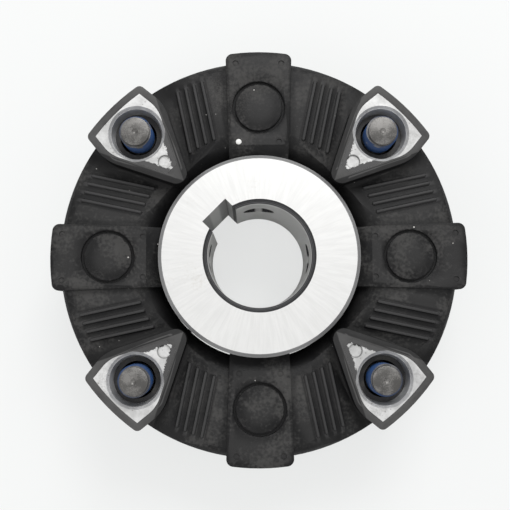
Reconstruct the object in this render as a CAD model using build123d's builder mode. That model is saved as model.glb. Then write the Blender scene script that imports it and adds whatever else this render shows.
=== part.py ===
from build123d import *
from math import cos, radians, sin, sqrt, tan
import os

# Bonded rubber shaft coupling: a keyed steel hub, a ring-shaped rubber element that is moulded onto
# four axial and four radial aluminium inserts, and the socket head screws that join the three.
# All lengths are in millimetres. The Z axis is the shaft axis, and Z = 0 is the hub's end face that
# the coupling stands on. Radial arms lie along X and Y, and the axial lugs lie between them.

os.makedirs("parts", exist_ok=True)

# ---------------------------------------------------------------- driving dimensions
arms = 4  # radial arms, and as many axial lugs between them

# Steel hub
hub_diameter = 125.0
hub_length = 85.0
hub_edge_chamfer = 2.3
hub_proud = 1.5  # the hub's end face stands this far above the lug faces
bore_diameter = 64.0
bore_chamfer = 3.0
keyway_width = 20.0
keyway_floor_radius = 39.7
keyway_angle = 135.0

# Socket head screws, the same thread in both directions
thread_diameter = 20.0
head_diameter = 30.0
head_height = 20.0
socket_flats = 17.0
socket_depth = 10.0
axial_screw_length = 60.0
radial_screw_length = 60.0
radial_tip_depth = 5.0  # how far the radial screw's end stays behind the bore's wall
clearance_hole = 23.0
head_clearance = 1.0  # radial room round a screw's head

# Rubber element
bolt_circle = 215.0
element_thickness = 62.0
lug_edge_distance = 22.8  # from an axial screw's axis out to the element's outer edge
lug_tip_gap = 3.5  # between a lug's inner tip and the hub
lug_tip_round = 6.6
lug_flank_angle = 26.4
lug_shoulder_offset = 1.3
lug_shoulder_round = 25.0
lug_corner_half_width = 23.2
lug_corner_round = 3.6
web_hub_gap = 2.5
web_step_in = 4.7  # how far the web's rim lies inside the lugs' outer edge
web_depth = 9.0  # from the lug faces down to the web beside an arm
web_inner_roll = 15.0
web_outer_roll = 7.0
roll_steps = 3  # each roll is this many conical bands
web_fall_angle = 8.0  # the web falls away from the arm towards the lug
web_fall_start = 5.5

# Arms: the pads of rubber that cover the radial inserts
arm_depth = 8.0
arm_outer_half_width = 21.0
arm_inner_half_width = 18.7
arm_corner_round = 4.5
arm_hub_gap = 0.7
arm_ramp_length = 7.5
arm_ramp_drop = 3.5
plug_radius_position = 94.5
plug_groove_radius = 16.6
plug_groove_width = 1.7
plug_groove_depth = 1.6

# Raised beads on the web
beads = 4
bead_angle = 12.0  # from the arm's centre line
bead_first_offset = 11.9
bead_pitch = 5.5
bead_width = 3.4
bead_corner = 1.1
bead_height = 1.7
bead_draft = 20.0
bead_root = 1.0  # how deep a bead starts below the web's surface
bead_inner_margin = 13.0  # from the web's inner wall to where the beads start
bead_outer_margin = 7.4  # from the web's rim to where they end

# Cast aluminium inserts and the steel sleeves in the axial ones
rubber_border = 4.6
insert_tip_margin = 10.5  # from the lug's inner tip to the insert's cut-off end
insert_tip_round = 1.8
recess_mouth_radius = 17.5
recess_depth = 10.5
head_recess_depth = 9.3
radial_insert_width = 33.0
radial_insert_rubber = 4.5  # rubber over and under the radial insert
radial_insert_corner = 5.0

# ---------------------------------------------------------------- sizes that follow from them
hub_radius = hub_diameter / 2
bore_radius = bore_diameter / 2
thread_radius = thread_diameter / 2
head_radius = head_diameter / 2
bolt_radius = bolt_circle / 2
element_radius = bolt_radius + lug_edge_distance
arm_step = 360 / arms
lug_start = arm_step / 2

element_top = hub_length - hub_proud
element_bottom = element_top - element_thickness
middle = (element_top + element_bottom) / 2
half_thickness = element_thickness / 2
seat_height = element_bottom + head_recess_depth
sleeve_top = element_top - recess_depth
web_height = half_thickness - web_depth
arm_height = half_thickness - arm_depth
web_inner_radius = hub_radius + web_hub_gap
web_rim_radius = element_radius - web_step_in
arm_inner_radius = hub_radius + arm_hub_gap
bead_inner_radius = web_inner_radius + bead_inner_margin
bead_outer_radius = web_rim_radius - bead_outer_margin

radial_seat_radius = bore_radius + radial_tip_depth + radial_screw_length
radial_insert_end = radial_seat_radius + head_height
radial_insert_height = 2 * (arm_height - radial_insert_rubber)
insert_bore_radius = head_radius + head_clearance

lug_tip = hub_radius + lug_tip_gap
lug_apex = lug_tip - lug_tip_round * (1 / sin(radians(lug_flank_angle)) - 1)
shoulder_x = bolt_radius + lug_shoulder_offset
shoulder_y = (shoulder_x - lug_apex) * tan(radians(lug_flank_angle))
lug_corner_x = sqrt(element_radius**2 - lug_corner_half_width**2)


def arm_plane(height, angle):
    """A level plane on the shaft axis whose X axis points outwards along one arm or lug."""
    return Plane.XY.offset(height).rotated((0, 0, angle))


def screw_axis_plane(radius, angle):
    """A plane square to one arm's centre line, facing outwards, at the element's middle height."""
    outwards = Vector(1, 0, 0).rotate(Axis.Z, angle)
    return Plane(origin=outwards * radius + Vector(0, 0, middle), x_dir=(0, 0, 1), z_dir=outwards)


# ---------------------------------------------------------------- outlines used by several pieces
with BuildSketch() as lug_face:
    with BuildLine():
        ThreePointArc(
            (lug_corner_x, -lug_corner_half_width),
            (element_radius, 0),
            (lug_corner_x, lug_corner_half_width),
        )
        Polyline(
            (lug_corner_x, lug_corner_half_width),
            (shoulder_x, shoulder_y),
            (lug_apex, 0),
            (shoulder_x, -shoulder_y),
            (lug_corner_x, -lug_corner_half_width),
        )
    make_face()
    lug_points = lug_face.vertices().sort_by(Axis.X)
    fillet(lug_points[0], lug_tip_round)
    fillet(lug_face.vertices().group_by(Axis.X)[-1], lug_corner_round)
    shoulders = lug_face.vertices().sort_by(Axis.Y)
    fillet([shoulders[0], shoulders[-1]], lug_shoulder_round)

with BuildSketch() as insert_face:
    add(lug_face.sketch)
    offset(amount=-rubber_border, kind=Kind.INTERSECTION, mode=Mode.REPLACE)
    insert_tip = lug_tip + insert_tip_margin
    with Locations((insert_tip + element_radius / 2, 0)):
        Rectangle(element_radius, element_radius, mode=Mode.INTERSECT)
    fillet(insert_face.vertices().group_by(Axis.X)[0], insert_tip_round)

with BuildSketch() as arm_face:
    with BuildLine():
        arm_end_x = sqrt(element_radius**2 - arm_outer_half_width**2)
        ThreePointArc(
            (arm_end_x, -arm_outer_half_width),
            (element_radius, 0),
            (arm_end_x, arm_outer_half_width),
        )
        Polyline(
            (arm_end_x, arm_outer_half_width),
            (hub_radius, arm_inner_half_width),
            (0, arm_inner_half_width),
            (0, -arm_inner_half_width),
            (hub_radius, -arm_inner_half_width),
            (arm_end_x, -arm_outer_half_width),
        )
    make_face()
    fillet(arm_face.vertices().group_by(Axis.X)[-1], arm_corner_round)

# ---------------------------------------------------------------- shapes moulded into the element
# One lug, from the middle of the element up to its face.
with BuildPart() as lug_block:
    with BuildSketch(Plane.XY.offset(middle)):
        add(lug_face.sketch)
    extrude(amount=half_thickness)

# One arm, with the ramp that leads down to the hub and the round plug's groove.
with BuildPart() as arm_block:
    with BuildSketch(Plane.XY.offset(middle)):
        add(arm_face.sketch)
    extrude(amount=arm_height)
    ramp_top = middle + arm_height
    with BuildSketch(Plane.XZ.offset(-element_radius / 2)):
        with BuildLine():
            Polyline(
                (arm_inner_radius + arm_ramp_length, ramp_top),
                (arm_inner_radius - arm_ramp_length, ramp_top - 2 * arm_ramp_drop),
                (arm_inner_radius - arm_ramp_length, ramp_top + arm_ramp_drop),
                (arm_inner_radius + arm_ramp_length, ramp_top),
            )
        make_face()
    extrude(amount=element_radius, mode=Mode.SUBTRACT)
    with BuildSketch(Plane.XY.offset(middle)):
        Circle(arm_inner_radius)
    extrude(amount=arm_height, mode=Mode.SUBTRACT)
    with BuildSketch(Plane.XY.offset(ramp_top - plug_groove_depth)):
        with Locations((plug_radius_position, 0)):
            Circle(plug_groove_radius)
            Circle(plug_groove_radius - plug_groove_width, mode=Mode.SUBTRACT)
    extrude(amount=plug_groove_depth, mode=Mode.SUBTRACT)
    with BuildSketch(Plane.YZ):
        with Locations((0, middle)):
            pocket = Rectangle(radial_insert_width, radial_insert_height)
            chamfer(pocket.vertices(), radial_insert_corner)
    extrude(amount=radial_insert_end, mode=Mode.SUBTRACT)
    with BuildSketch(screw_axis_plane(radial_insert_end, 0)):
        Circle(insert_bore_radius)
    extrude(amount=element_radius, mode=Mode.SUBTRACT)

# The wedge that lowers one eighth of the web towards its lug. It is made along one arm's beads.
web_top = middle + web_height
bead_frame = Plane.XY.offset(web_top).rotated((0, 0, bead_angle))
bead_line = Vector(1, 0, 0).rotate(Axis.Z, bead_angle)
with BuildPart() as web_fall:
    fall = element_radius * tan(radians(web_fall_angle))
    with BuildSketch(Plane(origin=(0, 0, web_top), x_dir=bead_frame.y_dir, z_dir=bead_line)):
        with BuildLine():
            Polyline(
                (web_fall_start, 0),
                (web_fall_start + element_radius, -fall),
                (web_fall_start + element_radius, web_depth),
                (web_fall_start, web_depth),
                (web_fall_start, 0),
            )
        make_face()
    extrude(amount=2 * element_radius)
    with BuildSketch(Plane.XY):
        with BuildLine():
            reach = 2 * element_radius
            far_corner = (reach * cos(radians(lug_start)), reach * sin(radians(lug_start)))
            Polyline((0, 0), (reach, 0), far_corner, (0, 0))
        make_face()
    extrude(amount=hub_length, mode=Mode.INTERSECT)

# The beads of one eighth of the web, on the falling surface.
with BuildPart() as bead_group:
    for number in range(beads):
        across = bead_first_offset + number * bead_pitch
        start = sqrt(bead_inner_radius**2 - across**2)
        end = sqrt(bead_outer_radius**2 - across**2)
        drop = max(across - web_fall_start, 0) * tan(radians(web_fall_angle))
        centre = bead_frame.from_local_coords(((start + end) / 2, across, -drop - bead_root))
        normal = bead_frame.z_dir.rotate(Axis((0, 0, 0), bead_line), -web_fall_angle)
        with BuildSketch(Plane(origin=centre, x_dir=bead_line, z_dir=normal)):
            bead = Rectangle(end - start, bead_width)
            chamfer(bead.vertices(), bead_corner)
        extrude(amount=bead_root + bead_height, taper=bead_draft)

# ---------------------------------------------------------------- rubber element, one moulding
with BuildPart() as flexible_element:
    # The web: a ring that rolls down at its rim and, further, towards the hub.
    with BuildSketch(Plane.XZ):
        with BuildLine():
            inner_roll_centre = (web_inner_radius + web_inner_roll, web_top - web_inner_roll)
            outer_roll_centre = (web_rim_radius - web_outer_roll, web_top - web_outer_roll)
            Polyline(
                (web_rim_radius, outer_roll_centre[1]),
                (web_rim_radius, middle),
                (web_inner_radius, middle),
                (web_inner_radius, inner_roll_centre[1]),
            )
            inner_roll = CenterArc(inner_roll_centre, web_inner_roll, 180, -90, mode=Mode.PRIVATE)
            outer_roll = CenterArc(outer_roll_centre, web_outer_roll, 90, -90, mode=Mode.PRIVATE)
            Polyline([inner_roll @ (step / roll_steps) for step in range(roll_steps + 1)])
            Line(inner_roll @ 1, outer_roll @ 0)
            Polyline([outer_roll @ (step / roll_steps) for step in range(roll_steps + 1)])
        make_face()
    revolve(axis=Axis.Z)
    with PolarLocations(0, arms):
        add(web_fall.part, mode=Mode.SUBTRACT)
        add(web_fall.part.mirror(Plane.XZ), mode=Mode.SUBTRACT)
    with PolarLocations(0, arms):
        add(bead_group.part)
        add(bead_group.part.mirror(Plane.XZ))
    with PolarLocations(0, arms, start_angle=lug_start):
        add(lug_block.part)
    # The arms' pockets have to stay open, so the web gives way to each whole arm first.
    with BuildSketch(Plane.XY.offset(middle)):
        with PolarLocations(0, arms):
            add(arm_face.sketch)
    extrude(amount=half_thickness, mode=Mode.SUBTRACT)
    with PolarLocations(0, arms):
        add(arm_block.part)
    mirror(about=Plane.XY.offset(middle))
    # Pockets for the axial inserts.
    with BuildSketch(Plane.XY.offset(element_bottom)):
        with PolarLocations(0, arms, start_angle=lug_start):
            add(insert_face.sketch)
    extrude(amount=element_thickness, mode=Mode.SUBTRACT)
flexible_element.part.label = "flexible_element"
export_step(flexible_element.part, "parts/flexible_element.step")

# ---------------------------------------------------------------- hub
with BuildPart() as hub:
    with BuildSketch():
        Circle(hub_radius)
    extrude(amount=hub_length)
    chamfer(hub.edges().filter_by(GeomType.CIRCLE), hub_edge_chamfer)
    with BuildSketch():
        Circle(bore_radius)
    extrude(amount=hub_length, mode=Mode.SUBTRACT)
    bore_edges = hub.edges().filter_by(GeomType.CIRCLE).group_by(SortBy.RADIUS)[0]
    chamfer(bore_edges, bore_chamfer)
    with BuildSketch(arm_plane(0, keyway_angle)):
        with Locations((keyway_floor_radius / 2, 0)):
            Rectangle(keyway_floor_radius, keyway_width)
    extrude(amount=hub_length, mode=Mode.SUBTRACT)
    for number in range(arms):
        with BuildSketch(screw_axis_plane(0, number * arm_step)):
            Circle(thread_radius)
        extrude(amount=hub_radius, mode=Mode.SUBTRACT)
hub.part.label = "hub"
export_step(hub.part, "parts/hub.step")

# ---------------------------------------------------------------- axial inserts and their sleeves
for number in range(arms):
    lug_angle = lug_start + number * arm_step
    with BuildPart() as axial_insert:
        with BuildSketch(arm_plane(element_bottom, lug_angle)):
            add(insert_face.sketch)
            with Locations((bolt_radius, 0)):
                Circle(insert_bore_radius, mode=Mode.SUBTRACT)
        extrude(amount=element_thickness)
        mouth = axial_insert.faces().sort_by(Axis.Z)[-1].inner_wires().edges()
        chamfer(mouth, recess_mouth_radius - insert_bore_radius)
    axial_insert.part.label = f"axial_insert_{number + 1}"
    export_step(axial_insert.part, f"parts/axial_insert_{number + 1}.step")

with BuildPart() as axial_sleeves:
    with BuildSketch(Plane.XY.offset(seat_height)):
        with PolarLocations(bolt_radius, arms, start_angle=lug_start):
            Circle(insert_bore_radius)
            Circle(clearance_hole / 2, mode=Mode.SUBTRACT)
    extrude(amount=sleeve_top - seat_height)
axial_sleeves.part.label = "axial_sleeves"
export_step(axial_sleeves.part, "parts/axial_sleeves.step")

# ---------------------------------------------------------------- radial inserts
for number in range(arms):
    arm_angle = number * arm_step

    with BuildPart() as radial_insert:
        with BuildSketch(screw_axis_plane(0, arm_angle)):
            block = Rectangle(radial_insert_height, radial_insert_width)
            chamfer(block.vertices(), radial_insert_corner)
        extrude(amount=radial_insert_end)
        with BuildSketch():
            Circle(hub_radius)
        extrude(amount=hub_length, mode=Mode.SUBTRACT)
        with BuildSketch(screw_axis_plane(0, arm_angle)):
            Circle(clearance_hole / 2)
        extrude(amount=radial_insert_end, mode=Mode.SUBTRACT)
        with BuildSketch(screw_axis_plane(radial_seat_radius, arm_angle)):
            Circle(insert_bore_radius)
        extrude(amount=head_height, mode=Mode.SUBTRACT)
    radial_insert.part.label = f"radial_insert_{number + 1}"
    export_step(radial_insert.part, f"parts/radial_insert_{number + 1}.step")

# ---------------------------------------------------------------- screws, one group for each direction
with BuildPart() as axial_screws:
    around_bolt_circle = PolarLocations(bolt_radius, arms, start_angle=lug_start)
    with BuildSketch(Plane.XY.offset(seat_height)):
        with around_bolt_circle:
            Circle(thread_radius)
    extrude(amount=axial_screw_length)
    with BuildSketch(Plane.XY.offset(seat_height)):
        with around_bolt_circle:
            Circle(head_radius)
    extrude(amount=-head_height)
    with BuildSketch(Plane.XY.offset(seat_height - head_height)):
        with around_bolt_circle:
            RegularPolygon(socket_flats / 2, 6, major_radius=False)
    extrude(amount=socket_depth, mode=Mode.SUBTRACT)
axial_screws.part.label = "axial_screws"
export_step(axial_screws.part, "parts/axial_screws.step")

with BuildPart() as radial_screws:
    for number in range(arms):
        seat_plane = screw_axis_plane(radial_seat_radius, number * arm_step)
        with BuildSketch(seat_plane):
            Circle(thread_radius)
        extrude(amount=-radial_screw_length)
        with BuildSketch(seat_plane):
            Circle(head_radius)
        extrude(amount=head_height)
        with BuildSketch(seat_plane.offset(head_height - socket_depth)):
            RegularPolygon(socket_flats / 2, 6, major_radius=False)
        extrude(amount=socket_depth, mode=Mode.SUBTRACT)
radial_screws.part.label = "radial_screws"
export_step(radial_screws.part, "parts/radial_screws.step")
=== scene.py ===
# %% [markdown]
# # A rubber shaft coupling, dressed for a studio picture
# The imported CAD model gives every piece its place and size. This lesson keeps those sizes and adds
# what a drawing leaves out: threads, softened edges, ejector marks, moulding flash, and finishes.
# All lengths here are in metres, and Z runs along the shaft axis, towards the viewer.

from math import cos, pi, radians, sin

import bpy
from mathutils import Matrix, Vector


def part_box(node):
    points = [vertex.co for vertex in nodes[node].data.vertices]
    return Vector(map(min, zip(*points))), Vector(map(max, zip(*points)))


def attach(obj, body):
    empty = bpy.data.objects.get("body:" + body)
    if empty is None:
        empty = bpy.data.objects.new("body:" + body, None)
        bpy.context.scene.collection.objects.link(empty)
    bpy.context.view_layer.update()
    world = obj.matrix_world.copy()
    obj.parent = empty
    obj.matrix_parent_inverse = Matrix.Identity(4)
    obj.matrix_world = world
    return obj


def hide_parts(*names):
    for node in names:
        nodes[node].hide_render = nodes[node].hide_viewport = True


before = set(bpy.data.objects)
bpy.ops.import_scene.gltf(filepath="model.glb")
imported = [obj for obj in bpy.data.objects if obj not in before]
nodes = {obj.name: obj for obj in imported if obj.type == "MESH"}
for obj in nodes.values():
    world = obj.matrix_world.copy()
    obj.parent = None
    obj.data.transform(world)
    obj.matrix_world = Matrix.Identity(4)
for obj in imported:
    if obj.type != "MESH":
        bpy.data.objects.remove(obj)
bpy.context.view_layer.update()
print("CAD nodes:", sorted(nodes))

# %% [markdown]
# ## Sizes that the whole lesson shares
# A few of them are measured from the CAD boxes, so that they follow the part if it changes. The
# others are the real product's own: its bolt circle, its screws and the marks of its mould.

# %% Shared sizes
mm = 0.001
arms = 4
hub_low, hub_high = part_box("hub")
element_low, element_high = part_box("flexible_element")
screws_low, screws_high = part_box("axial_screws")
sleeves_low, sleeves_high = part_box("axial_sleeves")
hub_radius = hub_high.x
lug_face = element_high.z
element_foot = element_low.z
element_middle = (lug_face + element_foot) / 2
bolt_radius = 107.5 * mm
arm_face = lug_face - 8.0 * mm
thread_radius = 10.0 * mm
head_radius = 15.0 * mm
bore_radius = 32.0 * mm
insert_bore_radius = 16.0 * mm
plug_radius_position = 94.5 * mm
print("lug faces at", round(lug_face / mm, 2), "mm, arms at", round(arm_face / mm, 2), "mm")

# %% [markdown]
# ## Small helpers
# Every operator works on what is selected, so each step begins with a clean selection. A CAD piece
# is never changed: where it needs softer edges, a copy of it is welded, worked on, and shown in
# its stead.


# %% Selection and copying helpers
def only(*objects):
    """Selects these objects alone and makes the first one active."""
    bpy.ops.object.select_all(action="DESELECT")
    for each in objects:
        each.select_set(True)
    bpy.context.view_layer.objects.active = objects[0]


def edit(obj, mode="FACE"):
    """Opens one object for editing with nothing selected."""
    only(obj)
    bpy.ops.object.mode_set(mode="EDIT")
    bpy.ops.mesh.select_mode(type=mode)
    bpy.ops.mesh.select_all(action="DESELECT")
    bpy.ops.object.mode_set(mode="OBJECT")


def at_origin(obj):
    """Puts an object's place into its mesh."""
    only(obj)
    bpy.ops.object.transform_apply(location=True, rotation=True, scale=True)


def apply_modifier(obj, kind, **settings):
    """Adds one modifier with these settings and applies it."""
    only(obj)
    bpy.ops.object.modifier_add(type=kind)
    modifier = obj.modifiers[-1]
    for name, value in settings.items():
        setattr(modifier, name, value)
    bpy.ops.object.modifier_apply(modifier=modifier.name)


def welded_copy(node, name):
    """A copy of a CAD node whose triangles share their corners and whose flat faces are whole."""
    only(nodes[node])
    bpy.ops.object.duplicate()
    piece = bpy.context.active_object
    piece.name = name
    piece.parent = None
    for key in [key for key in piece.keys() if key.startswith("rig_")]:
        del piece[key]
    if piece.data.has_custom_normals:
        bpy.ops.mesh.customdata_custom_splitnormals_clear()
    bpy.ops.object.mode_set(mode="EDIT")
    bpy.ops.mesh.select_mode(type="VERT")
    bpy.ops.mesh.select_all(action="SELECT")
    bpy.ops.mesh.remove_doubles(threshold=1e-6)
    bpy.ops.mesh.dissolve_limited(angle_limit=radians(0.5))
    bpy.ops.object.mode_set(mode="OBJECT")
    return piece


def smooth(obj, degrees=38):
    """Shades curved walls smooth and keeps real corners crisp."""
    only(obj)
    bpy.ops.object.shade_smooth_by_angle(angle=radians(degrees))


def join(*objects):
    """Joins several meshes into the first one."""
    only(*objects)
    bpy.ops.object.join()
    return bpy.context.active_object


def turned_copies(obj, name, count=arms):
    """Copies one piece round the shaft axis, each copy with its own mesh."""
    made = [obj]
    obj.name = f"{name}_1"
    for number in range(1, count):
        only(obj)
        bpy.ops.object.duplicate()
        copy = bpy.context.active_object
        copy.name = f"{name}_{number + 1}"
        copy.rotation_euler.z = number * 2 * pi / count
        at_origin(copy)
        made.append(copy)
    return made


# %% [markdown]
# ## The camera
# The coupling stands on its hub and is seen from just above and a little below its centre line,
# about half a metre away. A short lens at that distance shows a trace of the bore's wall and of
# the outer walls at the lower side.

# %% Camera
bpy.ops.object.camera_add(
    location=(-7.54 * mm, -37.57 * mm, 595.1 * mm),
    rotation=(radians(4.240), radians(-0.516), radians(-0.229)),
)
camera = bpy.context.active_object
camera.data.lens = 58.92
camera.data.sensor_width = 36
camera.data.clip_start = 0.01
bpy.context.scene.camera = camera
print("camera height above the floor:", round(camera.location.z, 3), "m")

# %% [markdown]
# ## The floor and the light
# A pale sheet of paper lies under the coupling. To the camera a share of it glows, as a lit table
# does, so its shadows stay light, while all that it sends to the object is plain bounced light.
# One broad lamp stands high on the far side and a weaker one on the near side, and a soft white
# room fills the rest. The room is darker near the horizon than overhead, which gives steel its
# contrast.

# %% Floor and lamps
bpy.ops.mesh.primitive_plane_add(size=6, location=(0, 0, -0.0002))
floor = bpy.context.active_object
floor.name = "floor"

paper = bpy.data.materials.new("white_paper")
paper.use_nodes = True
paper_shader = paper.node_tree.nodes["Principled BSDF"]
paper_shader.inputs["Base Color"].default_value = (0.84, 0.85, 0.845, 1)
paper_shader.inputs["Roughness"].default_value = 0.9
paper_shader.inputs["Specular IOR Level"].default_value = 0.1
paper_nodes, paper_links = paper.node_tree.nodes, paper.node_tree.links
glow = paper_nodes.new("ShaderNodeEmission")
glow.inputs["Color"].default_value = (0.925, 0.935, 0.93, 1)
ray = paper_nodes.new("ShaderNodeLightPath")
share = paper_nodes.new("ShaderNodeMath")
share.operation = "MULTIPLY"
share.inputs[1].default_value = 0.72
blend = paper_nodes.new("ShaderNodeMixShader")
paper_links.new(ray.outputs["Is Camera Ray"], share.inputs[0])
paper_links.new(share.outputs[0], blend.inputs["Fac"])
paper_links.new(paper_shader.outputs["BSDF"], blend.inputs[1])
paper_links.new(glow.outputs["Emission"], blend.inputs[2])
paper_links.new(blend.outputs["Shader"], paper_nodes["Material Output"].inputs["Surface"])
floor.data.materials.append(paper)


def lamp(name, place, size, watts):
    """A square lamp that faces the coupling's middle."""
    bpy.ops.object.light_add(type="AREA", location=place)
    made = bpy.context.active_object
    made.name = name
    made.data.size = size
    made.data.energy = watts
    aim = Vector((0, 0, element_middle)) - Vector(place)
    made.rotation_euler = aim.to_track_quat("-Z", "Y").to_euler()
    return made


key_lamp = lamp("key_lamp", (0.25, 1.1, 1.35), 0.8, 17)
fill_lamp = lamp("fill_lamp", (-1.0, -0.7, 1.2), 1.1, 3)

room = bpy.data.worlds.new("soft_room")
bpy.context.scene.world = room
room.use_nodes = True
room_nodes, room_links = room.node_tree.nodes, room.node_tree.links
room_shader = room_nodes["Background"]
room_place = room_nodes.new("ShaderNodeTexCoord")
room_split = room_nodes.new("ShaderNodeSeparateXYZ")
room_ramp = room_nodes.new("ShaderNodeValToRGB")
room_links.new(room_place.outputs["Generated"], room_split.inputs[0])
room_links.new(room_split.outputs["Z"], room_ramp.inputs["Fac"])
room_links.new(room_ramp.outputs["Color"], room_shader.inputs["Color"])
room_ramp.color_ramp.elements[0].position = 0.0
room_ramp.color_ramp.elements[0].color = (0.30, 0.30, 0.31, 1)
room_ramp.color_ramp.elements[1].position = 0.75
room_ramp.color_ramp.elements[1].color = (1.0, 1.0, 1.0, 1)
room_shader.inputs["Strength"].default_value = 0.86
bpy.context.scene.view_settings.view_transform = "Standard"
print("lamps:", key_lamp.data.energy, fill_lamp.data.energy, "W")

# %% [markdown]
# ## Finish effects that several materials share
# Grime, grain and lathe marks are node groups, so that each is made once and then used with other
# numbers in each material. A group puts out masks and heights only, and the material that holds it
# decides what to do with them.


# %% Tools for building node groups
def new_group(name, inputs, outputs):
    """An empty node group with these float, vector or colour sockets."""
    group = bpy.data.node_groups.new(name, "ShaderNodeTree")
    for socket, kind, value in inputs:
        made = group.interface.new_socket(socket, in_out="INPUT", socket_type=kind)
        if value is not None:
            made.default_value = value
    for socket, kind in outputs:
        group.interface.new_socket(socket, in_out="OUTPUT", socket_type=kind)
    start = group.nodes.new("NodeGroupInput")
    end = group.nodes.new("NodeGroupOutput")
    return group, start, end


def node(tree, kind, **settings):
    """Adds one node. Settings that are the node's own are set, and the others are its sockets."""
    made = tree.nodes.new(kind)
    for name, value in settings.items():
        if hasattr(made, name):
            setattr(made, name, value)
        else:
            made.inputs[name.replace("_", " ")].default_value = value
    return made


def maths(tree, operation, first, second=None, third=None):
    """A math node on two or three numbers or sockets. Returns its result."""
    made = tree.nodes.new("ShaderNodeMath")
    made.operation = operation
    for slot, value in enumerate([first, second, third]):
        if value is None:
            continue
        if isinstance(value, (int, float)):
            made.inputs[slot].default_value = value
        else:
            tree.links.new(value, made.inputs[slot])
    return made.outputs[0]


def step_mask(tree, value, low, high):
    """0 below low, 1 above high, and smooth in between. It falls instead where low is above high."""
    made = tree.nodes.new("ShaderNodeMapRange")
    made.interpolation_type = "SMOOTHSTEP"
    tree.links.new(value, made.inputs["Value"])
    if low < high:
        made.inputs["From Min"].default_value = low
        made.inputs["From Max"].default_value = high
    else:
        made.inputs["From Min"].default_value = high
        made.inputs["From Max"].default_value = low
        made.inputs["To Min"].default_value = 1.0
        made.inputs["To Max"].default_value = 0.0
    return made.outputs["Result"]


def noise(tree, place, scale, detail=4.0, roughness=0.55):
    """A grey noise of this many waves to the metre."""
    made = tree.nodes.new("ShaderNodeTexNoise")
    made.inputs["Scale"].default_value = scale
    made.inputs["Detail"].default_value = detail
    made.inputs["Roughness"].default_value = roughness
    tree.links.new(place, made.inputs["Vector"])
    return made.outputs["Fac"]


FLOAT, VECTOR = "NodeSocketFloat", "NodeSocketVector"

# %% [markdown]
# ### Patches
# Dust, talc and dried oil lie in patches with ragged rims. A broad noise says where, and a finer one
# frays the border.

# %% Patch group
patches, start, end = new_group(
    "dusty_patches",
    [("Place", VECTOR, None), ("Broad", FLOAT, 30.0), ("Fine", FLOAT, 400.0), ("Level", FLOAT, 0.5)],
    [("Mask", FLOAT)],
)
broad = patches.nodes.new("ShaderNodeTexNoise")
fine = patches.nodes.new("ShaderNodeTexNoise")
broad.inputs["Detail"].default_value = 6.0
fine.inputs["Detail"].default_value = 3.0
for texture, socket in ((broad, "Broad"), (fine, "Fine")):
    patches.links.new(start.outputs["Place"], texture.inputs["Vector"])
    patches.links.new(start.outputs[socket], texture.inputs["Scale"])
mixed = maths(patches, "MULTIPLY_ADD", fine.outputs["Fac"], 0.35, maths(patches, "MULTIPLY", broad.outputs["Fac"], 0.65))
above = maths(patches, "SUBTRACT", mixed, start.outputs["Level"])
patches.links.new(step_mask(patches, above, -0.05, 0.12), end.inputs["Mask"])
print("group", patches.name)

# %% [markdown]
# ### Pits and specks
# A casting has small round pits where gas or sand sat, and rubber carries a few pale specks. Both
# are cells of a Voronoi pattern of which only some, picked by their random colour, are kept.

# %% Speck group
specks, start, end = new_group(
    "round_specks",
    [("Place", VECTOR, None), ("Scale", FLOAT, 500.0), ("Share", FLOAT, 0.2), ("Radius", FLOAT, 0.25)],
    [("Mask", FLOAT)],
)
cells = specks.nodes.new("ShaderNodeTexVoronoi")
specks.links.new(start.outputs["Place"], cells.inputs["Vector"])
specks.links.new(start.outputs["Scale"], cells.inputs["Scale"])
lot = specks.nodes.new("ShaderNodeSeparateColor")
specks.links.new(cells.outputs["Color"], lot.inputs[0])
kept = maths(specks, "LESS_THAN", lot.outputs[0], start.outputs["Share"])
size = maths(specks, "MULTIPLY", start.outputs["Radius"], maths(specks, "ADD", lot.outputs[1], 0.3))
inside = maths(specks, "SUBTRACT", size, cells.outputs["Distance"])
specks.links.new(maths(specks, "MULTIPLY", kept, step_mask(specks, inside, 0.0, 0.08)), end.inputs["Mask"])
print("group", specks.name)

# %% [markdown]
# ### Lathe lines and grinding streaks
# Round a turned piece the tool leaves rings, and grinding leaves faint streaks that run across
# them. Both come from the distance to the shaft axis and the angle round it: rings vary with the
# distance alone, and streaks mostly with the angle.

# %% Turning group
turning, start, end = new_group(
    "turned_marks",
    [("Place", VECTOR, None), ("Rings", FLOAT, 900.0), ("Streaks", FLOAT, 40.0)],
    [("Rings", FLOAT), ("Streaks", FLOAT), ("Radius", FLOAT)],
)
split = turning.nodes.new("ShaderNodeSeparateXYZ")
turning.links.new(start.outputs["Place"], split.inputs[0])
x_squared = maths(turning, "MULTIPLY", split.outputs["X"], split.outputs["X"])
radius = maths(turning, "SQRT", maths(turning, "MULTIPLY_ADD", split.outputs["Y"], split.outputs["Y"], x_squared))
unit_x = maths(turning, "DIVIDE", split.outputs["X"], radius)
unit_y = maths(turning, "DIVIDE", split.outputs["Y"], radius)
ring_place = turning.nodes.new("ShaderNodeCombineXYZ")
turning.links.new(maths(turning, "MULTIPLY", radius, start.outputs["Rings"]), ring_place.inputs["X"])
turning.links.new(maths(turning, "MULTIPLY", split.outputs["Z"], start.outputs["Rings"]), ring_place.inputs["Y"])
streak_place = turning.nodes.new("ShaderNodeCombineXYZ")
turning.links.new(maths(turning, "MULTIPLY", unit_x, start.outputs["Streaks"]), streak_place.inputs["X"])
turning.links.new(maths(turning, "MULTIPLY", unit_y, start.outputs["Streaks"]), streak_place.inputs["Y"])
turning.links.new(maths(turning, "MULTIPLY", radius, 60.0), streak_place.inputs["Z"])
turning.links.new(noise(turning, ring_place.outputs[0], 1.0, 3.0), end.inputs["Rings"])
turning.links.new(noise(turning, streak_place.outputs[0], 1.0, 5.0, 0.65), end.inputs["Streaks"])
turning.links.new(radius, end.inputs["Radius"])
print("group", turning.name)


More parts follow.
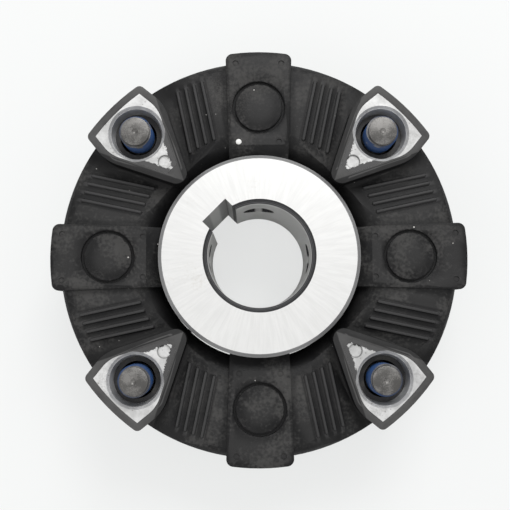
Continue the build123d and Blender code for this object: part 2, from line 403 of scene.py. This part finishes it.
# %% [markdown]
# ### Where on the element
# The element has four equal arms and lugs, each the same on both sides. Folding the plan over both
# axes and the diagonal lays all eight parts on one, so one measure serves them all: how far out
# along the nearest arm a point is, and how far to its side. From these come the distances to the
# arm's round plug, to the flank of the nearest lug, to a bead's crest and to the lug's pin mark.

# %% Plan group
plan, start, end = new_group(
    "folded_plan",
    [("Place", VECTOR, None)],
    [
        ("From plug", FLOAT),
        ("From flank", FLOAT),
        ("From crest", FLOAT),
        ("From mark", FLOAT),
        ("Beside", FLOAT),
        ("Across", FLOAT),
        ("Along lug", FLOAT),
    ],
)
split = plan.nodes.new("ShaderNodeSeparateXYZ")
plan.links.new(start.outputs["Place"], split.inputs[0])
plan_x = maths(plan, "ABSOLUTE", split.outputs["X"])
plan_y = maths(plan, "ABSOLUTE", split.outputs["Y"])
out = maths(plan, "MAXIMUM", plan_x, plan_y)
beside = maths(plan, "MINIMUM", plan_x, plan_y)
from_plug_x = maths(plan, "SUBTRACT", out, plug_radius_position)
from_plug = maths(plan, "SQRT", maths(plan, "MULTIPLY_ADD", from_plug_x, from_plug_x, maths(plan, "MULTIPLY", beside, beside)))
flank_angle = radians(45 - 26.4)
lug_apex = 66.0 * mm * cos(pi / 4)
flank_x = maths(plan, "MULTIPLY", maths(plan, "SUBTRACT", out, lug_apex), sin(flank_angle))
flank_y = maths(plan, "MULTIPLY", maths(plan, "SUBTRACT", beside, lug_apex), cos(flank_angle))
plan.links.new(from_plug, end.inputs["From plug"])
plan.links.new(maths(plan, "SUBTRACT", flank_x, flank_y), end.inputs["From flank"])
plan.links.new(beside, end.inputs["Beside"])
bead_angle = radians(12)
bead_first, bead_pitch = 11.9 * mm, 5.5 * mm
across = maths(plan, "SUBTRACT", maths(plan, "MULTIPLY", beside, cos(bead_angle)), maths(plan, "MULTIPLY", out, sin(bead_angle)))
turns = maths(plan, "DIVIDE", maths(plan, "SUBTRACT", across, bead_first - bead_pitch / 2), bead_pitch)
off_crest = maths(plan, "ABSOLUTE", maths(plan, "SUBTRACT", maths(plan, "FRACT", turns), 0.5))
along_lug = maths(plan, "MULTIPLY", maths(plan, "ADD", out, beside), cos(pi / 4))
off_lug = maths(plan, "MULTIPLY", maths(plan, "SUBTRACT", out, beside), cos(pi / 4))
from_mark_x = maths(plan, "SUBTRACT", along_lug, 82.5 * mm)
from_mark = maths(plan, "SQRT", maths(plan, "MULTIPLY_ADD", from_mark_x, from_mark_x, maths(plan, "MULTIPLY", off_lug, off_lug)))
plan.links.new(maths(plan, "MULTIPLY", off_crest, bead_pitch), end.inputs["From crest"])
plan.links.new(from_mark, end.inputs["From mark"])
plan.links.new(across, end.inputs["Across"])
plan.links.new(along_lug, end.inputs["Along lug"])
print("group", plan.name)


# %% [markdown]
# ## Materials
# Each material starts from one Principled shader. Its colour is a chain of mixes, from the clean
# finish up to the dirt that lies on it, with painted light and shade among them in some, and its relief is one bump
# node fed by the same masks.


# %% Material tools
def start_material(name):
    """A material with its shader and its object coordinates."""
    made = bpy.data.materials.new(name)
    made.use_nodes = True
    tree = made.node_tree
    place = tree.nodes.new("ShaderNodeTexCoord").outputs["Object"]
    return made, tree, tree.nodes["Principled BSDF"], place


def use(tree, group, place, **values):
    """Places a shared group in a material, with its own values."""
    made = tree.nodes.new("ShaderNodeGroup")
    made.node_tree = group
    tree.links.new(place, made.inputs["Place"])
    for name, value in values.items():
        made.inputs[name].default_value = value
    return made.outputs


def tint(tree, mask, below, above):
    """Mixes two colours or sockets by a mask. Returns the mixed colour."""
    made = tree.nodes.new("ShaderNodeMix")
    made.data_type = "RGBA"
    tree.links.new(mask, made.inputs["Factor"])
    for socket, value in ((6, below), (7, above)):
        if isinstance(value, tuple):
            made.inputs[socket].default_value = (*value, 1)
        else:
            tree.links.new(value, made.inputs[socket])
    return made.outputs[2]


def relief(tree, shader, height, depth, strength=1.0):
    """Feeds the shader's normal from a height from 0 to 1 that stands for this depth in metres."""
    bump = tree.nodes.new("ShaderNodeBump")
    bump.inputs["Strength"].default_value = strength
    bump.inputs["Distance"].default_value = depth
    tree.links.new(height, bump.inputs["Height"])
    tree.links.new(bump.outputs["Normal"], shader.inputs["Normal"])


def facing_up(tree):
    """How far a surface faces up: 1 for level, 0 for a wall."""
    normal = tree.nodes.new("ShaderNodeNewGeometry").outputs["Normal"]
    parts = tree.nodes.new("ShaderNodeSeparateXYZ")
    tree.links.new(normal, parts.inputs[0])
    return maths(tree, "ABSOLUTE", parts.outputs["Z"])


# %% [markdown]
# ### Moulded rubber
# The element's rubber is charcoal with a random tone. Painted light makes its level faces and bead crests lighter,
# and painted shade darkens the sloping webs beside the lugs, the seams, the bead gaps and the groove round each plug.
# Dust lies in patches, mostly on level faces, talc lies in fainter patches, and the lug tops carry a lighter mottled
# band.
# A fine grain breaks its shine.

# %% Rubber
rubber, tree, shader, place = start_material("moulded_rubber")
level = facing_up(tree)
tone = noise(tree, place, 55.0, 5.0, 0.6)
colour = tint(tree, step_mask(tree, tone, 0.35, 0.68), (0.0050, 0.0050, 0.0054), (0.0120, 0.0118, 0.0120))
# Painted light: faces that lie level are made lighter, as the lamps light them more than the slopes.
painted_lit_tops = step_mask(tree, level, 0.985, 0.999)
colour = tint(tree, maths(tree, "MULTIPLY", painted_lit_tops, 0.6), colour, (0.032, 0.0315, 0.0315))
dust = use(tree, patches, place, Broad=42.0, Fine=520.0, Level=0.52)["Mask"]
dust_on_tops = maths(tree, "MULTIPLY", dust, maths(tree, "MULTIPLY_ADD", step_mask(tree, level, 0.6, 0.99), 0.42, 0.06))
colour = tint(tree, dust_on_tops, colour, (0.085, 0.083, 0.080))
talc = use(tree, patches, place, Broad=16.0, Fine=1500.0, Level=0.60)["Mask"]
colour = tint(tree, maths(tree, "MULTIPLY", talc, 0.25), colour, (0.12, 0.115, 0.11))
flecks = use(tree, specks, place, Scale=330.0, Share=0.035, Radius=0.16)["Mask"]
colour = tint(tree, maths(tree, "MULTIPLY", flecks, 0.75), colour, (0.62, 0.60, 0.57))
where = use(tree, plan, place)
ragged = maths(tree, "MULTIPLY_ADD", noise(tree, place, 420.0, 4.0), 0.0030, -0.0015)
plug_edge = maths(tree, "ADD", where["From plug"], ragged)
# The groove round each plug: painted shade in its colour below, and a real dent in the bump.
groove_shade_and_relief = maths(tree, "MULTIPLY", step_mask(tree, plug_edge, 0.0143, 0.0149), step_mask(tree, plug_edge, 0.0172, 0.0166))
# Painted shade: the sloping web beside each lug flank and the seam beside each pad are darkened, as shade falls there.
valley_edge = maths(tree, "ADD", where["From flank"], ragged)
valley_shade = maths(tree, "MULTIPLY", step_mask(tree, valley_edge, 0.0095, 0.0025), step_mask(tree, where["From flank"], -0.0004, 0.0004))
seam_shade = maths(tree, "MULTIPLY", step_mask(tree, where["Beside"], 0.0188, 0.0200), step_mask(tree, where["Beside"], 0.0245, 0.0215))
hollow_shade = maths(tree, "MAXIMUM", valley_shade, maths(tree, "MULTIPLY", seam_shade, 0.5))
hollow_shade = maths(tree, "MULTIPLY", hollow_shade, step_mask(tree, level, 0.9999, 0.9985))
far_out = use(tree, turning, place)["Radius"]
beads = maths(tree, "MULTIPLY", step_mask(tree, where["Across"], 0.0085, 0.0100), step_mask(tree, where["Across"], 0.0315, 0.0295))
beads = maths(tree, "MULTIPLY", beads, maths(tree, "MULTIPLY", step_mask(tree, far_out, 0.0775, 0.0795), step_mask(tree, far_out, 0.1215, 0.1170)))
# Painted highlight on the bead crests, and painted shade in the gaps between the beads.
crest = maths(tree, "MULTIPLY", beads, step_mask(tree, where["From crest"], 0.00125, 0.00070))
gap_shade = maths(tree, "MULTIPLY", beads, step_mask(tree, where["From crest"], 0.0012, 0.0018))
colour = tint(tree, maths(tree, "MULTIPLY", crest, 0.75), colour, (0.046, 0.0455, 0.046))
lug_top = tree.nodes.new("ShaderNodeSeparateXYZ")
tree.links.new(place, lug_top.inputs[0])
border = maths(tree, "MULTIPLY", step_mask(tree, lug_top.outputs["Z"], lug_face - 0.9 * mm, lug_face - 0.2 * mm), step_mask(tree, level, 0.5, 0.98))
colour = tint(tree, maths(tree, "MULTIPLY", border, maths(tree, "MULTIPLY_ADD", tone, 0.9, 0.15)), colour, (0.098, 0.097, 0.096))
hollow_shade = maths(tree, "MAXIMUM", hollow_shade, maths(tree, "MULTIPLY", gap_shade, 0.85))
# All the painted shade of the rubber is mixed in here: plug grooves, web valleys, seams and bead gaps.
painted_shade = maths(tree, "MAXIMUM", maths(tree, "MULTIPLY", groove_shade_and_relief, 0.9), maths(tree, "MULTIPLY", hollow_shade, 0.75))
colour = tint(tree, painted_shade, colour, (0.0035, 0.0035, 0.0038))
tree.links.new(colour, shader.inputs["Base Color"])
tree.links.new(maths(tree, "MULTIPLY_ADD", dust, 0.22, 0.52), shader.inputs["Roughness"])
shader.inputs["Specular IOR Level"].default_value = 0.22
grain = maths(tree, "MULTIPLY_ADD", noise(tree, place, 1900.0, 3.0), 0.35, maths(tree, "MULTIPLY", noise(tree, place, 240.0, 4.0), 0.65))
grain = maths(tree, "SUBTRACT", grain, maths(tree, "MULTIPLY", groove_shade_and_relief, 0.8))
relief(tree, shader, grain, 0.00035, 0.55)
print("material", rubber.name)

# %% [markdown]
# ### Cast aluminium
# The inserts are pressure castings, cleaned by tumbling: light grey and nearly matte, mottled by
# the flow of the metal, with pits here and there. A torn film of rubber flash lies over their
# inner rims, where the mould didn't quite seal.

# %% Aluminium
aluminium, tree, shader, place = start_material("cast_aluminium")
flow = noise(tree, place, 90.0, 6.0, 0.6)
colour = tint(tree, step_mask(tree, flow, 0.35, 0.65), (0.46, 0.46, 0.455), (0.66, 0.66, 0.655))
stain = use(tree, patches, place, Broad=70.0, Fine=900.0, Level=0.58)["Mask"]
colour = tint(tree, maths(tree, "MULTIPLY", stain, 0.45), colour, (0.27, 0.265, 0.25))
pits = use(tree, specks, place, Scale=620.0, Share=0.16, Radius=0.30)["Mask"]
colour = tint(tree, maths(tree, "MULTIPLY", pits, 0.6), colour, (0.26, 0.25, 0.24))
where = use(tree, plan, place)
torn = maths(tree, "MULTIPLY_ADD", noise(tree, place, 520.0, 5.0, 0.7), 0.0052, -0.0016)
on_face = step_mask(tree, facing_up(tree), 0.90, 0.97)
flank_flash = maths(tree, "ADD", maths(tree, "ADD", torn, 3.2 * mm), where["From flank"])
tip_flash = maths(tree, "SUBTRACT", maths(tree, "ADD", torn, 72.6 * mm), where["Along lug"])
inner_part = step_mask(tree, where["Along lug"], 0.101, 0.094)
flash = maths(tree, "MULTIPLY", step_mask(tree, flank_flash, 0.0, 0.0002), inner_part)
flash = maths(tree, "MAXIMUM", flash, step_mask(tree, tip_flash, 0.0, 0.0002))
flash = maths(tree, "MULTIPLY", flash, on_face)
# Painted shade: a dark ring round each ejector mark, where its sunken rim is in shade.
mark_ring_shade = maths(tree, "MULTIPLY", step_mask(tree, where["From mark"], 0.0036, 0.0040), step_mask(tree, where["From mark"], 0.0047, 0.0043))
colour = tint(tree, maths(tree, "MULTIPLY", mark_ring_shade, 0.6), colour, (0.13, 0.13, 0.128))
colour = tint(tree, flash, colour, (0.050, 0.049, 0.049))
tree.links.new(colour, shader.inputs["Base Color"])
tree.links.new(maths(tree, "MULTIPLY", maths(tree, "SUBTRACT", 1.0, flash), 0.45), shader.inputs["Metallic"])
tree.links.new(maths(tree, "MULTIPLY_ADD", flow, 0.25, 0.42), shader.inputs["Roughness"])
rough = maths(tree, "SUBTRACT", noise(tree, place, 800.0, 4.0), pits)
relief(tree, shader, rough, 0.00025, 0.6)
print("material", aluminium.name)

# %% [markdown]
# ### Ground steel
# The hub is turned all over and its end face is ground. The face is bright with faint streaks. The
# chamfers keep rings from the lathe tool and are painted darker than the face, as shade. The chamfer
# at the bore's mouth is painted darker still, as a dark reflection, and the bore's wall is painted
# light, as the bright floor reflected in it.

# %% Hub steel
steel, tree, shader, place = start_material("ground_steel")
marks = use(tree, turning, place, Rings=1500.0, Streaks=26.0)
level = facing_up(tree)
flat = step_mask(tree, level, 0.95, 0.995)
colour = tint(tree, step_mask(tree, marks["Streaks"], 0.30, 0.72), (0.73, 0.73, 0.72), (0.79, 0.79, 0.78))
# Painted shade: the chamfers and walls are darker than the level face, as they turn away from the lamps; their rings
# are lathe marks.
walls = tint(tree, step_mask(tree, marks["Rings"], 0.3, 0.7), (0.30, 0.30, 0.30), (0.50, 0.50, 0.50))
# Painted reflection: the bore's wall is made light, as the bright floor shows in it.
bore_wall_reflection = step_mask(tree, marks["Radius"], 0.0400, 0.0398)
walls = tint(tree, maths(tree, "MULTIPLY", bore_wall_reflection, 0.8), walls, (0.78, 0.78, 0.77))
colour = tint(tree, flat, walls, colour)
# Painted dark reflection on the chamfer at the bore's mouth; its rings are lathe marks.
near_mouth = maths(tree, "MULTIPLY", step_mask(tree, marks["Radius"], 0.0321, 0.0324), step_mask(tree, marks["Radius"], 0.0358, 0.0352))
mouth = maths(tree, "MULTIPLY", near_mouth, maths(tree, "SUBTRACT", 1.0, flat))
mouth_dark_reflection = tint(tree, step_mask(tree, marks["Rings"], 0.35, 0.65), (0.035, 0.036, 0.038), (0.16, 0.16, 0.165))
colour = tint(tree, mouth, colour, mouth_dark_reflection)
smudge = use(tree, patches, place, Broad=36.0, Fine=600.0, Level=0.62)["Mask"]
colour = tint(tree, maths(tree, "MULTIPLY", smudge, 0.30), colour, (0.50, 0.46, 0.40))
tree.links.new(colour, shader.inputs["Base Color"])
shader.inputs["Metallic"].default_value = 0.72
tree.links.new(maths(tree, "MULTIPLY_ADD", marks["Streaks"], 0.08, 0.36), shader.inputs["Roughness"])
lines = maths(tree, "MULTIPLY_ADD", marks["Rings"], 0.7, maths(tree, "MULTIPLY", marks["Streaks"], 0.3))
relief(tree, shader, lines, 0.00003, 0.35)
print("material", steel.name)

# %% [markdown]
# ### Screw steel and blackened sleeves
# The screws are blackened and have gone grey-brown where they were handled. A patch of blue
# thread-locking compound was brushed round each thread, and some of it shows down in the recess.

# %% Screw steel
screw_steel, tree, shader, place = start_material("screw_steel")
handled = use(tree, patches, place, Broad=120.0, Fine=1400.0, Level=0.48)["Mask"]
colour = tint(tree, handled, (0.095, 0.092, 0.088), (0.210, 0.204, 0.196))
height = tree.nodes.new("ShaderNodeSeparateXYZ")
tree.links.new(place, height.inputs[0])
band = maths(tree, "MULTIPLY", step_mask(tree, height.outputs["Z"], 0.070, 0.0715), step_mask(tree, height.outputs["Z"], 0.0888, 0.0868))
locker = maths(tree, "MULTIPLY", band, step_mask(tree, noise(tree, place, 110.0, 4.0), 0.30, 0.40))
colour = tint(tree, locker, colour, (0.006, 0.040, 0.135))
tree.links.new(colour, shader.inputs["Base Color"])
tree.links.new(maths(tree, "MULTIPLY", maths(tree, "SUBTRACT", 1.0, locker), 0.7), shader.inputs["Metallic"])
tree.links.new(maths(tree, "MULTIPLY_ADD", handled, 0.15, 0.38), shader.inputs["Roughness"])
relief(tree, shader, noise(tree, place, 1500.0, 4.0), 0.00012, 0.5)

black_steel, tree, shader, place = start_material("black_steel")
worn = use(tree, patches, place, Broad=150.0, Fine=1600.0, Level=0.52)["Mask"]
colour = tint(tree, worn, (0.030, 0.030, 0.032), (0.075, 0.072, 0.068))
tree.links.new(colour, shader.inputs["Base Color"])
shader.inputs["Metallic"].default_value = 0.5
tree.links.new(maths(tree, "MULTIPLY_ADD", worn, 0.2, 0.42), shader.inputs["Roughness"])
relief(tree, shader, noise(tree, place, 1300.0, 3.0), 0.0001, 0.4)
print("materials", screw_steel.name, black_steel.name)


# %% Give the CAD nodes their finishes
def finish_with(obj, material):
    """One material over the whole piece."""
    obj.data.materials.clear()
    obj.data.materials.append(material)


finishes = {
    "hub": steel,
    "axial_sleeves": black_steel,
    "axial_screws": screw_steel,
    "radial_screws": screw_steel,
    "flexible_element": rubber,
}
for name, obj in nodes.items():
    finish_with(obj, finishes.get(name, aluminium))

# %% [markdown]
# ## The rubber element
# It is one moulding, and its edges are as soft as rubber leaves a mould. A welded copy of the CAD
# solid gets a small bevel on every sharp edge. Then the ejector pins' marks are cut: four round
# dimples in each arm's corners, on both sides, and one in each lug's inner tip.


# %% Soft edges
element = welded_copy("flexible_element", "element_moulding")
apply_modifier(
    element,
    "BEVEL",
    width=0.9 * mm,
    segments=2,
    limit_method="ANGLE",
    angle_limit=radians(42),
    use_clamp_overlap=True,
)
print("element:", len(element.data.polygons), "faces")


# %% Ejector marks
def cutters(places, radius, depth, name):
    """One mesh of round pins that reach this far below the faces where they stand."""
    pins = []
    for x, y, top in places:
        bpy.ops.mesh.primitive_cylinder_add(vertices=24, radius=radius, depth=2 * depth, location=(x, y, top))
        pins.append(bpy.context.active_object)
    made = join(*pins)
    made.name = name
    at_origin(made)
    return made


def cut(obj, tool):
    """Cuts the tool's shape out of obj and removes the tool."""
    apply_modifier(obj, "BOOLEAN", object=tool, operation="DIFFERENCE", solver="EXACT")
    bpy.data.objects.remove(tool)


arm_marks = []
for number in range(arms):
    turn = number * 2 * pi / arms
    for out, across in ((123.0, 14.5), (123.0, -14.5), (72.6, 12.7), (72.6, -12.7)):
        x = (out * cos(turn) - across * sin(turn)) * mm
        y = (out * sin(turn) + across * cos(turn)) * mm
        arm_marks.append((x, y, arm_face))
        arm_marks.append((x, y, 2 * element_middle - arm_face))
cut(element, cutters(arm_marks, 1.9 * mm, 0.7 * mm, "arm_pins"))
smooth(element)
finish_with(element, rubber)
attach(element, "root")
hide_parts("flexible_element")
print("element with its marks:", len(element.data.polygons), "faces")

# %% [markdown]
# ## The axial inserts
# Each is a casting with crisp edges, one wide shallow ejector mark on its inner tip,
# and a hole with a chamfered mouth. Below the mouth the die left a draft, so a thin tapered ring
# narrows the hole down to the sleeve. The inserts are welded copies of the CAD castings.

# %% Cast inserts
for number in range(arms):
    node_name = f"axial_insert_{number + 1}"
    insert = welded_copy(node_name, f"cast_{node_name}")
    turn = pi / arms + number * 2 * pi / arms
    mark = (82.5 * mm * cos(turn), 82.5 * mm * sin(turn))
    cut(insert, cutters([(*mark, lug_face), (*mark, element_foot)], 4.2 * mm, 1.3 * mm, "insert_pins"))
    taper_foot, taper_top = sleeves_high.z, lug_face - 1.5 * mm
    middle_height, taper_height = (taper_foot + taper_top) / 2, taper_top - taper_foot
    bpy.ops.mesh.primitive_cylinder_add(
        vertices=72, radius=insert_bore_radius + 0.1 * mm, depth=taper_height, location=(0, 0, middle_height)
    )
    taper = bpy.context.active_object
    at_origin(taper)
    bpy.ops.mesh.primitive_cone_add(
        vertices=72, radius1=14.5 * mm, radius2=15.9 * mm, depth=taper_height + 0.1 * mm, location=(0, 0, middle_height)
    )
    cut(taper, bpy.context.active_object)
    taper.location = (bolt_radius * cos(turn), bolt_radius * sin(turn), 0)
    at_origin(taper)
    insert = join(insert, taper)
    smooth(insert, 30)
    finish_with(insert, aluminium)
    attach(insert, "root")
    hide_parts(node_name)
print("inserts:", arms)

# %% [markdown]
# ## The axial screws
# A real thread is a ridge that winds round a core. The core is a cylinder with a chamfered end.
# The ridge is a three-sided profile that the Screw modifier sweeps upwards, and a plane trims it
# at the screw's end. The head is a bevelled cylinder with a hexagon socket cut into it.

# %% One screw
pitch = 2.5 * mm
core_radius = 8.8 * mm
head_height = 20.0 * mm
seat = screws_low.z + head_height
tip = screws_high.z
tip_chamfer = 1.3 * mm
turn = pi / arms
screw_x, screw_y = bolt_radius * cos(turn), bolt_radius * sin(turn)

bpy.ops.mesh.primitive_cylinder_add(
    vertices=48, radius=core_radius, depth=tip - seat, location=(0, 0, (seat + tip) / 2)
)
shank = bpy.context.active_object
at_origin(shank)
edit(shank, "EDGE")
for edge in shank.data.edges:
    edge.select = all(shank.data.vertices[v].co.z > tip - 1e-5 for v in edge.vertices)
bpy.ops.object.mode_set(mode="EDIT")
bpy.ops.mesh.bevel(offset=0.6 * mm, segments=2)
bpy.ops.object.mode_set(mode="OBJECT")

# The centre mark in the end face, from the lathe's tailstock.
bpy.ops.mesh.primitive_cone_add(vertices=24, radius1=0, radius2=1.9 * mm, depth=1.4 * mm, location=(0, 0, tip - 0.65 * mm))
cut(shank, bpy.context.active_object)

thread_turns = 12
thread_start = tip - (thread_turns - 0.5) * pitch
bpy.ops.mesh.primitive_circle_add(vertices=3, radius=1.0, fill_type="NOTHING", rotation=(radians(90), 0, 0))
ridge = bpy.context.active_object
at_origin(ridge)
ridge_depth = thread_radius - core_radius + 0.25 * mm
corner_places = ((thread_radius, 0), (thread_radius - ridge_depth, pitch * 0.47), (thread_radius - ridge_depth, -pitch * 0.47))
for vertex, (out, up) in zip(ridge.data.vertices, corner_places):
    vertex.co = (out, 0, thread_start + up)
apply_modifier(
    ridge,
    "SCREW",
    axis="Z",
    angle=2 * pi,
    screw_offset=pitch,
    iterations=thread_turns,
    steps=36,
    render_steps=36,
    use_merge_vertices=False,
)
only(ridge)
bpy.ops.object.mode_set(mode="EDIT")
bpy.ops.mesh.select_all(action="SELECT")
bpy.ops.mesh.bisect(plane_co=(0, 0, tip - 2.4 * mm), plane_no=(0, 0, 1), use_fill=True, clear_outer=True)
bpy.ops.mesh.select_all(action="SELECT")
bpy.ops.mesh.normals_make_consistent(inside=False)
bpy.ops.object.mode_set(mode="OBJECT")
smooth(ridge, 25)

bpy.ops.mesh.primitive_cylinder_add(
    vertices=72, radius=head_radius, depth=head_height, location=(0, 0, seat - head_height / 2)
)
head = bpy.context.active_object
at_origin(head)
apply_modifier(head, "BEVEL", width=1.0 * mm, segments=3, limit_method="ANGLE", angle_limit=radians(40))
bpy.ops.mesh.primitive_cylinder_add(
    vertices=6, radius=8.5 * mm / cos(radians(30)), depth=20 * mm, location=(0, 0, seat - head_height)
)
cut(head, bpy.context.active_object)
smooth(shank, 30)
smooth(head, 30)
screw = join(head, shank, ridge)
screw.location = (screw_x, screw_y, 0)
at_origin(screw)
finish_with(screw, screw_steel)
screws = turned_copies(screw, "axial_screw")
for each in screws:
    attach(each, "root")
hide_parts("axial_screws")
print("screws:", len(screws), "with", len(screws[0].data.polygons), "faces each")

# %% [markdown]
# ## The inspector's dot
# One ejector mark of the far arm is filled with a drop of white paint, as an inspector leaves. It
# is a flattened ball that stands a little proud of the rubber.

# %% Paint dot
white_paint, tree, shader, place = start_material("white_paint")
tree.links.new(tint(tree, step_mask(tree, noise(tree, place, 900.0), 0.35, 0.65), (0.70, 0.70, 0.68), (0.86, 0.86, 0.84)), shader.inputs["Base Color"])
shader.inputs["Roughness"].default_value = 0.45
bpy.ops.mesh.primitive_uv_sphere_add(segments=32, ring_count=16, radius=1.85 * mm, location=(0, 0, 0))
dot = bpy.context.active_object
dot.name = "paint_dot"
dot.scale.z = 0.45
dot.location = (-12.7 * mm, 72.6 * mm, arm_face - 0.35 * mm)
at_origin(dot)
smooth(dot)
finish_with(dot, white_paint)
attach(dot, "root")
print("dot at", [round(v / mm, 1) for v in (-12.7 * mm, 72.6 * mm, arm_face)])

# %% [markdown]
